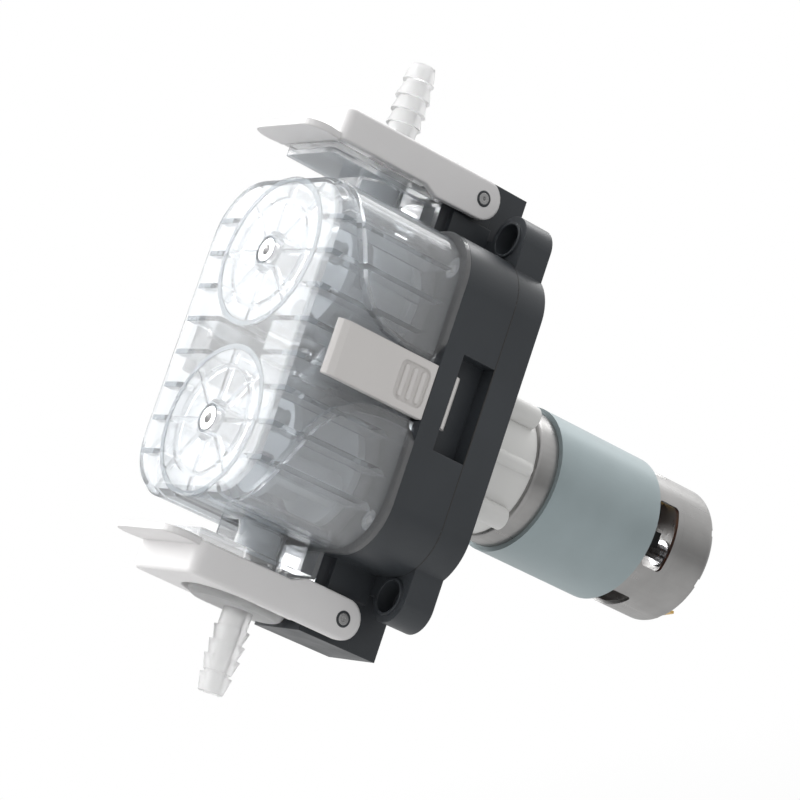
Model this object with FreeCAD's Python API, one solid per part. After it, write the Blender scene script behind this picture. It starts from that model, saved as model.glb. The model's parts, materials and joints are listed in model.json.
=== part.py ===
import FreeCAD, Part
import math
import os

V = FreeCAD.Vector

# Peristaltic pump with a DC gearmotor.  Millimetres.  +X right as seen from
# the front, +Y from the pump head to the motor tail, +Z from the lower hose
# connector to the upper one.  Origin: centre of the four mounting holes on
# the back face of the base.

# ---- base ----------------------------------------------------------------
BASE_HALF_X = 36.0
BASE_HALF_Z = 47.6
BASE_CORNER_R = 15.5
BACK_Y = 0.0
PARTING_Y = -10.0
BASE_FRONT_Y = -28.0
FRONT_WALL = 3.2
GEAR_CAVITY_HALF_X = 22.0
GEAR_CAVITY_HALF_Z = 42.5
GEAR_CAVITY_R = 12.0

EAR_X = 22.6
EAR_Z = 53.2
EAR_R = 7.4
EAR_HOLE_R = 2.75
EAR_COUNTERBORE_R = 4.65
EAR_COUNTERBORE_DEPTH = 5.0
EAR_RIM_R = 5.4
EAR_RIM_HEIGHT = 0.8

TOWER_HALF_X = 11.0
TOWER_TOP_Z = 69.8
TOWER_FRONT_Y = -27.3
TOWER_FOOT_FRONT_Y = -24.0
TOWER_BOSS_HALF_X = 12.9
TOWER_BOSS_R = 5.2

WINDOW_HALF_Z = 14.0
WINDOW_FRONT_Y = -21.4
WINDOW_FLOOR_X = 30.6
HOOK_SLOT_INNER_X = 30.9
HOOK_SLOT_OUTER_X = 34.8
HOOK_SLOT_HALF_Z = 8.1

FRAME_SCREW_X = 26.5
FRAME_SCREW_Z = 37.0
SCREW_R = 1.5

BEARING_R = 8.0
BEARING_WIDTH = 3.0

# ---- gear train ----------------------------------------------------------
MOTOR_Z = -2.8
ROTOR_Z = 24.8
GEAR_MODULE = 1.0
PINION_TEETH = 12
IDLER_TEETH = 16
WHEEL_TEETH = 32
GEAR_Y0 = -20.0
GEAR_Y1 = -13.0
PLANET_MODULE = 0.7
SUN_TEETH = 12
PLANET_TEETH = 18
RING_TEETH = 48
PLANET_Y0 = 8.0
PLANET_Y1 = 16.0
PRESSURE_ANGLE = math.radians(20.0)
TOOTH_BACKLASH = 0.16
RUNNING_GAP = 0.06

# ---- gearbox and motor ---------------------------------------------------
GEARBOX_R = 19.8
GEARBOX_FLANGE_R = 24.6
GEARBOX_POCKET_R = 25.4
GEARBOX_FRONT_Y = -6.0
GEARBOX_SCREW_RING_R = 17.8
BROAD_LUG_RING_R = 21.5
BROAD_LUG_R = 3.4
SLIM_LUG_RING_R = 19.2
SLIM_LUG_R = 2.1
OUTPUT_SHAFT_R = 3.0
MOTOR_FRONT_Y = 25.0
MOTOR_R = 21.0
MOTOR_WALL = 1.2
MOTOR_SCREW_X = 14.5
MOTOR_SCREW_R = 1.6
MOUNT_PLATE_R = 17.8
FLUX_RING_R = 22.5
FLUX_RING_Y0 = 32.5
FLUX_RING_Y1 = 72.0
WINDOW_Y0 = 73.2
WINDOW_Y1 = 81.2
WINDOW_HALF_WIDTH = 10.0
WINDOW_CORNER_R = 1.4
CAN_END_Y = 83.4
TAIL_Y = 96.5
TAIL_BOSS_HEIGHT = 1.8
TERMINAL_RING_R = 16.6
TERMINAL_ANGLES = (-80, 100)
TERMINAL_Y = 101.6
SHAFT_R = 2.5

# ---- pump head -----------------------------------------------------------
HEAD_FRONT_Y = -70.4
HEAD_HALF_X = 31.0
HEAD_HALF_Z = 47.0
HEAD_CORNER_R = 17.0
HEAD_WALL = 2.0
LOBE_HALF_X = 33.5
LOBE_EDGE = ((-28.0, 8.8), (-39.3, 9.0), (-47.2, 10.4), (-53.5, 14.3), (-58.4, 19.9),
             (-61.2, 26.0), (-64.0, 32.2), (-65.6, 38.0), (-66.2, 47.6), (-28.0, 47.6))
FLANGE_Y0 = -29.5
FLANGE_HALF_X = 36.0
FLANGE_NOTCH = ((41.0, 14.3), (36.0, 14.3), (30.6, 8.7))
CHAMBER_R = 20.5
CHAMBER_WALL = 1.8
RIB_THICKNESS = 1.5
RIB_PITCH = 9.9
RIB_REAR_Y = -30.5
NECK_HALF_X = 9.2
NECK_HALF_Y = 10.5
NECK_Z = 55.0
PLATE_HALF_X = 11.8
PLATE_FRONT_Y = -67.5
PLATE_REAR_Y = -28.4
CLAMP_Z = 56.5
CLAMP_THICKNESS = 1.8
SHAFT_END_Y = -68.0

TUBE_Y = -40.9
TUBE_R = 5.0
TUBE_BORE_R = 3.0
TUBE_FLAT_HALF = 2.0
TUBE_FLAT_HALF_WIDTH = 6.8
TUBE_CLEARANCE = 0.35
TUBE_MOUTH_R = 5.6
TRACK_MID_R = 18.5
INLET_BEND_R = 9.0
TUBE_END_Z = 56.0

SEAT_Z0 = 62.6
SEAT_Z1 = 65.3
SEAT_HALF_X = 12.5
SEAT_FRONT_Y = -60.0
SEAT_REAR_Y = -28.2
DOME_HALF_X = 10.9
DOME_FRONT_Y = -56.8
DOME_REAR_Y = -28.0
DOME_Z = 69.9
BARB_TIP_Z = 93.6
BARB_NECK_Z = 75.2

ROLLER_R = 4.8
ROLLER_ORBIT = 11.4
ROLLER_PIN_R = 2.0
ROLLER_Y0 = -50.5
ROLLER_Y1 = -31.3
ROTOR_DISC_R = 16.4
ROTOR_SHAFT_R = 4.0
BACK_DISC_Y0 = -30.9
BACK_DISC_Y1 = -28.4
FRONT_DISC_Y0 = -53.7
FRONT_DISC_Y1 = -50.9
HUB_R = 6.2

# ---- levers and latches --------------------------------------------------
LEVER_PIN_Y = -17.6
LEVER_PIN_Z = 62.84
LEVER_PIN_R = 1.65
LEVER_END_R = 5.9
LEVER_HALF_X = 15.5
LEVER_ARM_THICKNESS = 2.3
LEVER_FRONT_Y = -68.9
LEVER_FRONT_WALL = 2.4
LEVER_TOP_Z = 68.0
LEVER_TOP_WALL = 2.3
LEVER_INNER_Z = 58.7
LEVER_OPENING_HALF_X = 12.0
LEVER_OPENING_FRONT_Y = -58.8
LEVER_TAB_Y = -79.2
LEVER_TAB_THICKNESS = 2.0

LATCH_OUTER_X = 36.0
LATCH_INNER_X = 33.6
LATCH_HALF_Z = 7.9
LATCH_REAR_Y = -28.2
LATCH_FRONT_Y = -62.5
LATCH_PIVOT_X = 31.9
LATCH_PIVOT_Y = -57.0
LATCH_PIN_R = 0.9
LATCH_CHEEK_R = 1.6
LATCH_LUG_HALF_Z = 3.2

NODES = {}


# ---- general helpers -----------------------------------------------------
def cyl_y(radius, y0, y1, x=0.0, z=0.0):
    return Part.makeCylinder(radius, y1 - y0, V(x, y0, z), V(0, 1, 0))


def cyl_z(radius, z0, z1, x=0.0, y=0.0):
    return Part.makeCylinder(radius, z1 - z0, V(x, y, z0), V(0, 0, 1))


def cyl_x(radius, x0, x1, y=0.0, z=0.0):
    return Part.makeCylinder(radius, x1 - x0, V(x0, y, z), V(1, 0, 0))


def cone_z(r0, r1, z0, z1, x=0.0, y=0.0):
    return Part.makeCone(r0, r1, z1 - z0, V(x, y, z0), V(0, 0, 1))


def cone_y(r0, r1, y0, y1, x=0.0, z=0.0):
    return Part.makeCone(r0, r1, y1 - y0, V(x, y0, z), V(0, 1, 0))


def ring_y(outer, inner, y0, y1, x=0.0, z=0.0):
    return cyl_y(outer, y0, y1, x, z).cut(cyl_y(inner, y0 - 1, y1 + 1, x, z))


def box(x0, x1, y0, y1, z0, z1):
    return Part.makeBox(x1 - x0, y1 - y0, z1 - z0, V(x0, y0, z0))


def rounded_block(half_x, half_z, corner, y0, y1):
    """Rounded rectangle in XZ, extruded along Y."""
    ix = half_x - corner
    iz = half_z - corner
    bodies = [box(-half_x, half_x, y0, y1, -iz, iz), box(-ix, ix, y0, y1, -half_z, half_z)]
    for sx in (-1, 1):
        for sz in (-1, 1):
            bodies.append(cyl_y(corner, y0, y1, sx * ix, sz * iz))
    return fuse(bodies)


def rounded_plate(x_half, y0, y1, corner, z0, z1):
    """Rounded rectangle in XY, centred on x = 0, standing from z0 to z1."""
    plate = rounded_block(x_half, (y1 - y0) / 2, corner, 0, z1 - z0)
    plate.rotate(V(0, 0, 0), V(1, 0, 0), 90)
    plate.translate(V(0, (y0 + y1) / 2, z0))
    return plate


def fuse(shapes):
    result = shapes[0]
    for shape in shapes[1:]:
        result = result.fuse(shape)
    return result.removeSplitter()


def cut_all(shape, tools):
    for tool in tools:
        shape = shape.cut(tool)
    return shape


def flip_z(shape):
    return shape.mirror(V(0, 0, 0), V(0, 0, 1))


def flip_x(shape):
    return shape.mirror(V(0, 0, 0), V(1, 0, 0))


def prism_x(points, x0, x1):
    """Polygon given as (y, z) points, extruded along X."""
    wire = Part.makePolygon([V(x0, y, z) for y, z in points + [points[0]]])
    return Part.Face(wire).extrude(V(x1 - x0, 0, 0))


def prism_y(points, y0, y1):
    """Polygon given as (x, z) points, extruded along Y."""
    wire = Part.makePolygon([V(x, y0, z) for x, z in points + [points[0]]])
    return Part.Face(wire).extrude(V(0, y1 - y0, 0))


def prism_z(points, z0, z1):
    """Polygon given as (x, y) points, extruded along Z."""
    wire = Part.makePolygon([V(x, y, z0) for x, y in points + [points[0]]])
    return Part.Face(wire).extrude(V(0, 0, z1 - z0))


def fillet_where(shape, radius, test):
    """Fillet the edges whose bounding box passes the test; sharp if it cannot be done."""
    edges = [edge for edge in shape.Edges if test(edge.BoundBox)]
    try:
        rounded = shape.makeFillet(radius, edges)
    except Exception:
        return shape
    return rounded if rounded.isValid() and rounded.Volume > 0 else shape


def group(shapes):
    return Part.makeCompound(shapes)


def keep(name, shape):
    NODES[name] = shape


# ---- gears ---------------------------------------------------------------
def involute(angle):
    return math.tan(angle) - angle


def half_tooth_angle(radius, pitch_r, teeth, module, internal):
    """Half the angle a tooth fills at the given radius."""
    base_r = pitch_r * math.cos(PRESSURE_ANGLE)
    at_radius = math.acos(min(1.0, base_r / max(radius, base_r)))
    thin = TOOTH_BACKLASH * module / (2.0 * pitch_r)
    lean = involute(PRESSURE_ANGLE) - involute(at_radius)
    if internal:
        return math.pi / (2 * teeth) - thin - lean
    return math.pi / (2 * teeth) - thin + lean


def gear_outline(teeth, module, phase, internal=False):
    """Closed outline of a spur gear as (x, z) points about its own axis."""
    pitch_r = teeth * module / 2.0
    sign = -1.0 if internal else 1.0
    root = pitch_r - sign * 1.15 * module
    tip = pitch_r + sign * 0.85 * module
    steps = 5
    radii = [root + (tip - root) * i / (steps - 1) for i in range(steps)]
    points = []
    for tooth in range(teeth):
        centre = phase + 2 * math.pi * tooth / teeth
        halves = [half_tooth_angle(r, pitch_r, teeth, module, internal) for r in radii]
        for radius, half in zip(radii, halves):
            points.append((radius, centre - half))
        for radius, half in reversed(list(zip(radii, halves))):
            points.append((radius, centre + half))
    return [(r * math.cos(a), r * math.sin(a)) for r, a in points]


def spur_gear(teeth, module, phase, y0, y1, x, z, bore):
    outline = gear_outline(teeth, module, phase)
    gear = prism_y([(x + px, z + pz) for px, pz in outline], y0, y1)
    return gear.cut(cyl_y(bore, y0 - 1, y1 + 1, x, z))


def meshed_phase(teeth, phase, to_angle, mate_teeth):
    """Phase of a mating gear, so that its gap meets a tooth on the line of centres."""
    here = (to_angle - phase) * teeth / (2 * math.pi)
    offset = here - math.floor(here)
    return to_angle + math.pi + (2 * math.pi / mate_teeth) * (offset + 0.5)


IDLER_X = 12.173
IDLER_Z = 4.116
PINION_PHASE = 0.0
LOWER_WHEEL_PHASE = meshed_phase(PINION_TEETH, PINION_PHASE, -math.pi / 2, WHEEL_TEETH)
TO_IDLER = math.atan2(IDLER_Z - MOTOR_Z, IDLER_X)
IDLER_PHASE = meshed_phase(PINION_TEETH, PINION_PHASE, TO_IDLER, IDLER_TEETH)
TO_UPPER = math.atan2(ROTOR_Z - IDLER_Z, -IDLER_X)
UPPER_WHEEL_PHASE = meshed_phase(IDLER_TEETH, IDLER_PHASE, TO_UPPER, WHEEL_TEETH)


# ---- base ----------------------------------------------------------------
def ear(sx, sz):
    """Mounting ear at one corner of the back plate, with its raised rim."""
    x = sx * EAR_X
    z = sz * EAR_Z
    x0, x1 = sorted((sx * (EAR_X - 10.5), sx * (EAR_X + EAR_R)))
    z0, z1 = sorted((sz * (BASE_HALF_Z - 9.0), z))
    return fuse([cyl_y(EAR_R, PARTING_Y, BACK_Y, x, z),
                 box(x0, x1, PARTING_Y, BACK_Y, z0, z1),
                 cyl_y(EAR_RIM_R, PARTING_Y - EAR_RIM_HEIGHT, PARTING_Y + 1, x, z)])


def ear_holes():
    tools = []
    for sx in (-1, 1):
        for sz in (-1, 1):
            x, z = sx * EAR_X, sz * EAR_Z
            tools.append(cyl_y(EAR_HOLE_R, PARTING_Y - 5, BACK_Y + 1, x, z))
            floor = PARTING_Y + EAR_COUNTERBORE_DEPTH
            tools.append(cyl_y(EAR_COUNTERBORE_R, PARTING_Y - 5, floor, x, z))
    return tools


def gearbox_screw_places():
    angles = [math.radians(degrees) for degrees in (60, 120, 210, 330)]
    return [(GEARBOX_SCREW_RING_R * math.cos(angle),
             MOTOR_Z + GEARBOX_SCREW_RING_R * math.sin(angle)) for angle in angles]


def frame_screw_places():
    return [(sx * FRAME_SCREW_X, sz * FRAME_SCREW_Z) for sx in (-1, 1) for sz in (-1, 1)]


def tower_span(sz):
    """Lower and upper Z of one lever tower, from inside the base outline to its top."""
    return sorted((sz * (BASE_HALF_Z - 3.6), sz * TOWER_TOP_Z))


def base_back_plate():
    plate = [rounded_block(BASE_HALF_X, BASE_HALF_Z, BASE_CORNER_R, PARTING_Y, BACK_Y)]
    for sz in (-1, 1):
        for sx in (-1, 1):
            plate.append(ear(sx, sz))
        z0, z1 = tower_span(sz)
        plate.append(box(-TOWER_HALF_X, TOWER_HALF_X, PARTING_Y, BACK_Y, z0, z1))
    body = fuse(plate)
    front = PARTING_Y - 1
    tools = ear_holes()
    tools.append(cyl_y(GEARBOX_POCKET_R, GEARBOX_FRONT_Y, BACK_Y + 1, 0, MOTOR_Z))
    tools.append(cyl_y(7.2, front, GEARBOX_FRONT_Y + 1, 0, MOTOR_Z))
    for sz in (-1, 1):
        tools.append(cyl_y(BEARING_R, front, PARTING_Y + BEARING_WIDTH, 0, sz * ROTOR_Z))
    for x, z in gearbox_screw_places():
        tools.append(cyl_y(SCREW_R, front, GEARBOX_FRONT_Y + 1, x, z))
        tools.append(cyl_y(2.9, front, PARTING_Y + 2.2, x, z))
    for x, z in frame_screw_places():
        tools.append(cyl_y(SCREW_R, front, PARTING_Y + 6.5, x, z))
    tools.append(cyl_y(SCREW_R, front, PARTING_Y + 3.0, IDLER_X, IDLER_Z))
    return cut_all(body, tools)


def frame_openings(sx):
    """Side window for the latch and the slot its hook passes through."""
    x0, x1 = sorted((sx * WINDOW_FLOOR_X, sx * (BASE_HALF_X + 1)))
    window = box(x0, x1, WINDOW_FRONT_Y, PARTING_Y, -WINDOW_HALF_Z, WINDOW_HALF_Z)
    x0, x1 = sorted((sx * HOOK_SLOT_INNER_X, sx * HOOK_SLOT_OUTER_X))
    slot = box(x0, x1, BASE_FRONT_Y - 1, WINDOW_FRONT_Y + 1, -HOOK_SLOT_HALF_Z, HOOK_SLOT_HALF_Z)
    return [window, slot]


def base_front_frame():
    block = [rounded_block(BASE_HALF_X, BASE_HALF_Z, BASE_CORNER_R, BASE_FRONT_Y, PARTING_Y)]
    for sz in (-1, 1):
        z0, z1 = tower_span(sz)
        block.append(box(-TOWER_HALF_X, TOWER_HALF_X, TOWER_FRONT_Y, PARTING_Y, z0, z1))
        block.append(cyl_x(TOWER_BOSS_R, -TOWER_BOSS_HALF_X, TOWER_BOSS_HALF_X,
                           LEVER_PIN_Y, sz * LEVER_PIN_Z))
        z0, z1 = sorted((sz * (BASE_HALF_Z - 3.6), sz * (BASE_HALF_Z + 8.8)))
        block.append(box(-TOWER_BOSS_HALF_X, TOWER_BOSS_HALF_X, TOWER_FOOT_FRONT_Y, PARTING_Y,
                         z0, z1))
    body = fuse(block)
    front = BASE_FRONT_Y - 1
    tools = [rounded_block(GEAR_CAVITY_HALF_X, GEAR_CAVITY_HALF_Z, GEAR_CAVITY_R,
                           BASE_FRONT_Y + FRONT_WALL, PARTING_Y + 1)]
    for sz in (-1, 1):
        tools.append(cyl_x(LEVER_PIN_R, -20, 20, LEVER_PIN_Y, sz * LEVER_PIN_Z))
        tools.append(cyl_y(BEARING_R, front, BASE_FRONT_Y + BEARING_WIDTH, 0, sz * ROTOR_Z))
        tools.append(cyl_y(ROTOR_SHAFT_R + 1, front, BASE_FRONT_Y + 5.0, 0, sz * ROTOR_Z))
    for sx in (-1, 1):
        tools += frame_openings(sx)
    for x, z in frame_screw_places():
        tools.append(cyl_y(SCREW_R, front, PARTING_Y + 1, x, z))
        tools.append(cyl_y(3.0, front, BASE_FRONT_Y + 2.6, x, z))
    return cut_all(body, tools)


def socket_screw(head_r, head_h, shank_r, length, y, x, z):
    """Screw along +Y with its head towards -Y and a hexagon socket."""
    screw = fuse([cyl_y(head_r, y, y + head_h, x, z),
                  cyl_y(shank_r, y + head_h - 0.1, y + head_h + length, x, z)])
    hexagon = [(x + 0.5 * head_r * math.cos(k * math.pi / 3),
                z + 0.5 * head_r * math.sin(k * math.pi / 3)) for k in range(6)]
    return screw.cut(prism_y(hexagon, y - 1, y + 0.55 * head_h))


def bearing(y0, width, outer, inner, z):
    """Ball bearing with a groove between its two races on each face."""
    ring = ring_y(outer, inner, y0, y0 + width, 0, z)
    middle = (outer + inner) / 2
    for y in (y0 - 1, y0 + width - 0.3):
        ring = ring.cut(ring_y(middle + 0.8, middle - 0.8, y, y + 1.3, 0, z))
    return ring


# ---- gearbox -------------------------------------------------------------
def gearbox_lugs():
    """Upright columns around the housing: four broad ones between four slim ones."""
    lugs = []
    for k in range(8):
        broad = k % 2 == 1
        angle = k * math.pi / 4
        ring_r = BROAD_LUG_RING_R if broad else SLIM_LUG_RING_R
        lug_r = BROAD_LUG_R if broad else SLIM_LUG_R
        end = MOTOR_FRONT_Y - (2.0 if broad else 1.0)
        lugs.append(cyl_y(lug_r, 3.0, end, ring_r * math.cos(angle),
                          MOTOR_Z + ring_r * math.sin(angle)))
    return lugs


def gearbox_housing():
    shell = [cyl_y(GEARBOX_R, GEARBOX_FRONT_Y, MOTOR_FRONT_Y, 0, MOTOR_Z),
             cyl_y(GEARBOX_FLANGE_R, GEARBOX_FRONT_Y, GEARBOX_FRONT_Y + 3.0, 0, MOTOR_Z),
             cyl_y(GEARBOX_FLANGE_R, 1.0, 4.0, 0, MOTOR_Z)]
    body = fuse(shell + gearbox_lugs())
    outline = gear_outline(RING_TEETH, PLANET_MODULE, 0.0, internal=True)
    plate_room_y = MOTOR_FRONT_Y - 4.5
    tools = [prism_y([(px, MOTOR_Z + pz) for px, pz in outline], 6.5, plate_room_y + 0.5),
             cyl_y(14.5, -2.0, 7.0, 0, MOTOR_Z),
             cyl_y(MOUNT_PLATE_R + 0.1, plate_room_y, MOTOR_FRONT_Y + 1, 0, MOTOR_Z),
             cyl_y(6.0, GEARBOX_FRONT_Y - 1, -1.0, 0, MOTOR_Z)]
    for x, z in gearbox_screw_places():
        tools.append(cyl_y(SCREW_R, GEARBOX_FRONT_Y - 1, 3.6, x, z))
    return cut_all(body, tools)


def motor_screws():
    """Two screws that tie the motor's front face to the plate inside the gearbox."""
    screws = []
    for sx in (-1, 1):
        shank = cyl_y(MOTOR_SCREW_R, MOTOR_FRONT_Y - 3.5, MOTOR_FRONT_Y + 3.5,
                      sx * MOTOR_SCREW_X, MOTOR_Z)
        head = cyl_y(2.9, MOTOR_FRONT_Y - 4.4, MOTOR_FRONT_Y - 2.4, sx * MOTOR_SCREW_X, MOTOR_Z)
        screws.append(shank.fuse(head))
    return group(screws)


def motor_mount_plate():
    """Steel plate between the gearbox and the motor, carrying the motor screws."""
    y0 = MOTOR_FRONT_Y - 2.4
    plate = cyl_y(MOUNT_PLATE_R, y0, MOTOR_FRONT_Y - 0.1, 0, MOTOR_Z)
    tools = [cyl_y(7.0, y0 - 1, MOTOR_FRONT_Y + 1, 0, MOTOR_Z)]
    for sx in (-1, 1):
        tools.append(cyl_y(MOTOR_SCREW_R, y0 - 1, MOTOR_FRONT_Y + 1, sx * MOTOR_SCREW_X, MOTOR_Z))
    return cut_all(plate, tools)


def planet_place(index):
    orbit = PLANET_MODULE * (SUN_TEETH + PLANET_TEETH) / 2.0
    angle = 2 * math.pi * index / 3.0
    return orbit * math.cos(angle), MOTOR_Z + orbit * math.sin(angle), angle


def planet_phase(angle):
    """Each planet has a gap facing the ring tooth on the line of centres."""
    return angle + math.pi / PLANET_TEETH


def planet_gear(index):
    x, z, angle = planet_place(index)
    return spur_gear(PLANET_TEETH, PLANET_MODULE, planet_phase(angle), PLANET_Y0, PLANET_Y1,
                     x, z, 1.5 + RUNNING_GAP)


def planet_carrier():
    disc = [cyl_y(13.6, 1.0, 5.0, 0, MOTOR_Z), cyl_y(7.0, 4.0, 7.0, 0, MOTOR_Z)]
    for index in range(3):
        x, z, _ = planet_place(index)
        disc.append(cyl_y(3.0, 4.0, PLANET_Y0 - 0.4, x, z))
    body = fuse(disc)
    for index in range(3):
        x, z, _ = planet_place(index)
        body = body.cut(cyl_y(1.5, 0, 9, x, z))
    return body.cut(cyl_y(OUTPUT_SHAFT_R, 0, 9, 0, MOTOR_Z))


def planet_pins():
    pins = []
    for index in range(3):
        x, z, _ = planet_place(index)
        pins.append(cyl_y(1.5, 1.4, PLANET_Y1 + 0.4, x, z).fuse(
            cyl_y(2.3, PLANET_Y1 + 0.4, PLANET_Y1 + 1.2, x, z)))
    return group(pins)


def output_pinion():
    pinion = spur_gear(PINION_TEETH, GEAR_MODULE, PINION_PHASE, GEAR_Y0 - 0.5, GEAR_Y1 + 0.5,
                       0, MOTOR_Z, 0.5)
    core = cyl_y(0.6, GEAR_Y0 - 0.5, GEAR_Y1, 0, MOTOR_Z)
    shaft = cyl_y(OUTPUT_SHAFT_R, GEAR_Y1, 5.5, 0, MOTOR_Z)
    return fuse([pinion, core, shaft])


# ---- motor ---------------------------------------------------------------
def turned_about_motor(shape, degrees):
    """Turn a shape drawn on the +X side of the origin to an angle about the motor's axis."""
    shape.rotate(V(0, 0, 0), V(0, 1, 0), -degrees)
    shape.translate(V(0, 0, MOTOR_Z))
    return shape


def motor_can():
    """Drawn steel can with a front boss, screw holes and four windows near its tail."""
    shell = cyl_y(MOTOR_R, MOTOR_FRONT_Y, CAN_END_Y, 0, MOTOR_Z)
    shell = fillet_where(shell, 1.6, lambda b: b.YMax < MOTOR_FRONT_Y + 0.1 and b.XLength > 30)
    shell = shell.fuse(cyl_y(6.0, MOTOR_FRONT_Y - 1.8, MOTOR_FRONT_Y + 1, 0, MOTOR_Z))
    tools = [cyl_y(MOTOR_R - MOTOR_WALL, MOTOR_FRONT_Y + 1.5, CAN_END_Y + 1, 0, MOTOR_Z),
             cyl_y(5.0, MOTOR_FRONT_Y - 3, MOTOR_FRONT_Y + 3, 0, MOTOR_Z)]
    for sx in (-1, 1):
        tools.append(cyl_y(MOTOR_SCREW_R, MOTOR_FRONT_Y - 3, MOTOR_FRONT_Y + 4,
                           sx * MOTOR_SCREW_X, MOTOR_Z))
    for degrees in (0, 90, 180, 270):
        window = box(15, 25, WINDOW_Y0, WINDOW_Y1, -WINDOW_HALF_WIDTH, WINDOW_HALF_WIDTH)
        window = fillet_where(window, WINDOW_CORNER_R, lambda b: b.XLength > 9)
        tools.append(turned_about_motor(window, degrees))
    return cut_all(shell, tools)


def flux_ring():
    return ring_y(FLUX_RING_R, MOTOR_R, FLUX_RING_Y0, FLUX_RING_Y1, 0, MOTOR_Z)


def motor_end_cap():
    """Steel tail cap with a bearing boss, rim notches and slits for the terminals."""
    cap = cyl_y(MOTOR_R, CAN_END_Y, TAIL_Y, 0, MOTOR_Z)
    cap = fillet_where(cap, 2.0, lambda b: b.YMin > TAIL_Y - 0.1 and b.XLength > 30)
    cap = cap.fuse(cyl_y(7.5, TAIL_Y - 0.5, TAIL_Y + TAIL_BOSS_HEIGHT, 0, MOTOR_Z))
    tools = [cyl_y(MOTOR_R - MOTOR_WALL, CAN_END_Y - 1, TAIL_Y - 2.0, 0, MOTOR_Z),
             cyl_y(4.0, CAN_END_Y, TAIL_Y + 0.9, 0, MOTOR_Z)]
    for k in range(8):
        notch = box(18.8, 22, TAIL_Y - 1.4, TAIL_Y + 1, -1.3, 1.3)
        tools.append(turned_about_motor(notch, 22.5 + 45 * k))
    for degrees in TERMINAL_ANGLES:
        slit = box(TERMINAL_RING_R - 0.5, TERMINAL_RING_R + 0.5, TAIL_Y - 3, TAIL_Y + 1, -3.2, 3.2)
        tools.append(turned_about_motor(slit, degrees))
    return cut_all(cap, tools)


def motor_terminals():
    """Two flat brass tabs with a hole each, one near the motor's top and one near its foot."""
    tabs = []
    for degrees in TERMINAL_ANGLES:
        tab = box(TERMINAL_RING_R - 0.4, TERMINAL_RING_R + 0.4, TAIL_Y - 6.0, TERMINAL_Y, -3.0, 3.0)
        hole = cyl_x(0.9, TERMINAL_RING_R - 1, TERMINAL_RING_R + 1, TERMINAL_Y - 2.2, 0)
        tabs.append(turned_about_motor(tab.cut(hole), degrees))
    return group(tabs)


def motor_magnets():
    """Two arc magnets inside the can, above and below the armature."""
    y0 = FLUX_RING_Y0 + 0.5
    y1 = FLUX_RING_Y1 - 3.5
    arcs = []
    for sz in (-1, 1):
        arc = ring_y(MOTOR_R - MOTOR_WALL - 0.1, 16.2, y0, y1, 0, MOTOR_Z)
        z0, z1 = sorted((MOTOR_Z + sz * 7.0, MOTOR_Z + sz * 25.0))
        arcs.append(arc.common(box(-25, 25, y0 - 1, y1 + 1, z0, z1)))
    return group(arcs)


def motor_brushes():
    blocks = []
    for sx in (-1, 1):
        x0, x1 = sorted((sx * 7.2, sx * 13.5))
        blocks.append(box(x0, x1, WINDOW_Y0 + 3.3, WINDOW_Y1 + 0.5, MOTOR_Z - 2.2, MOTOR_Z + 2.2))
    return group(blocks)


def armature_core():
    """Five-slot laminated armature."""
    y0 = FLUX_RING_Y0 + 3.5
    y1 = FLUX_RING_Y1 - 6.5
    core = cyl_y(15.2, y0, y1, 0, MOTOR_Z)
    tools = [cyl_y(SHAFT_R, y0 - 1, y1 + 1, 0, MOTOR_Z)]
    for k in range(5):
        slot = box(6.5, 17, y0 - 1, y1 + 1, -1.4, 1.4)
        tools.append(turned_about_motor(slot, 72.0 * k))
    return cut_all(core, tools)


def armature_windings():
    """Copper end turns on both ends of the armature."""
    front_end = FLUX_RING_Y0 + 3.4
    rear_start = FLUX_RING_Y1 - 6.4
    turns = []
    for y0, y1 in ((front_end - 4.4, front_end), (rear_start, rear_start + 5.4)):
        turn = ring_y(13.2, SHAFT_R, y0, y1, 0, MOTOR_Z)
        turns.append(fillet_where(turn, 1.8, lambda b: b.XLength > 20))
    return group(turns)


def commutator():
    """Copper drum under the brushes, split by five slits."""
    y0 = FLUX_RING_Y1
    y1 = CAN_END_Y + 0.6
    drum = ring_y(6.8, SHAFT_R, y0, y1, 0, MOTOR_Z)
    for k in range(5):
        gap = box(5.9, 8, y0 - 1, y1 + 1, -0.3, 0.3)
        drum = drum.cut(turned_about_motor(gap, 72.0 * k + 36.0))
    return drum


def motor_bearings():
    """Front bearing in the can's boss and rear bearing in the cap's boss."""
    front = ring_y(5.0, SHAFT_R + RUNNING_GAP, MOTOR_FRONT_Y - 1.6, MOTOR_FRONT_Y + 2.9, 0, MOTOR_Z)
    rear = ring_y(4.0, SHAFT_R + RUNNING_GAP, TAIL_Y - 2.8, TAIL_Y + 0.7, 0, MOTOR_Z)
    return group([front, rear])


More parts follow.
